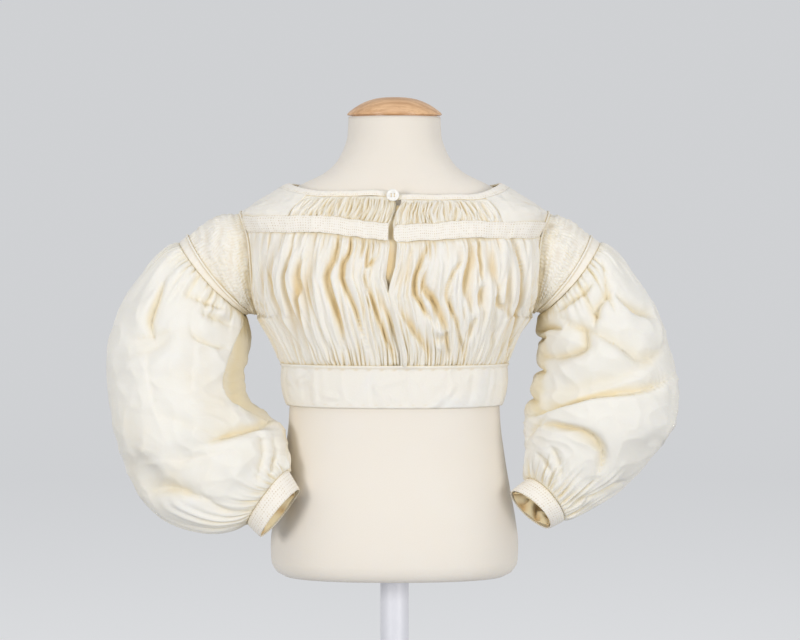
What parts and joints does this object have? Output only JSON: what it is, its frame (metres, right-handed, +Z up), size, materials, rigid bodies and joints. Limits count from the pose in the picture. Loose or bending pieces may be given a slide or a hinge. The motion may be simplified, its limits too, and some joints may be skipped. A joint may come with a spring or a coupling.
{
  "type": "bodice on a dress form",
  "caption": "Child's gathered cotton bodice with shirred shoulder caps, full long sleeves and narrow cuffs, worn on a limbless linen dress form on a pole and round foot.",
  "frame": {"origin": "centre of the foot's flat underside, on the floor", "axes": "+X to the wearer's left, -Y out of the wearer's front, +Z up"},
  "size_m": [0.502, 0.26, 0.6203],
  "materials": {
    "cotton": "fine plain-weave cotton, soft and slightly creased",
    "band": "stitched narrow cotton band",
    "button": "pearly white",
    "linen": "smooth stretched linen",
    "beech": "satin varnish",
    "steel": "white satin paint"
  },
  "bodies": {
    "root": {"front_right": "cotton", "front_left": "cotton", "back": "cotton", "shoulder_strap_right": "cotton", "shoulder_strap_left": "cotton", "front_underlap": "cotton", "waistband": "cotton", "neckband": "band", "chest_band_right": "band", "chest_band_left": "band", "armhole_piping_right": "cotton", "armhole_piping_left": "cotton", "sleeve_cap_right": "cotton", "sleeve_cap_left": "cotton", "sleeve_band_right": "cotton", "sleeve_band_left": "cotton", "sleeve_piping_right": "cotton", "sleeve_piping_left": "cotton", "sleeve_right": "cotton", "sleeve_left": "cotton", "cuff_right": "band", "cuff_left": "band", "neck_button": "button", "dress_form": "linen", "neck_cap": "beech", "stand_pole": "steel", "stand_foot": "steel"}
  },
  "joints": []
}
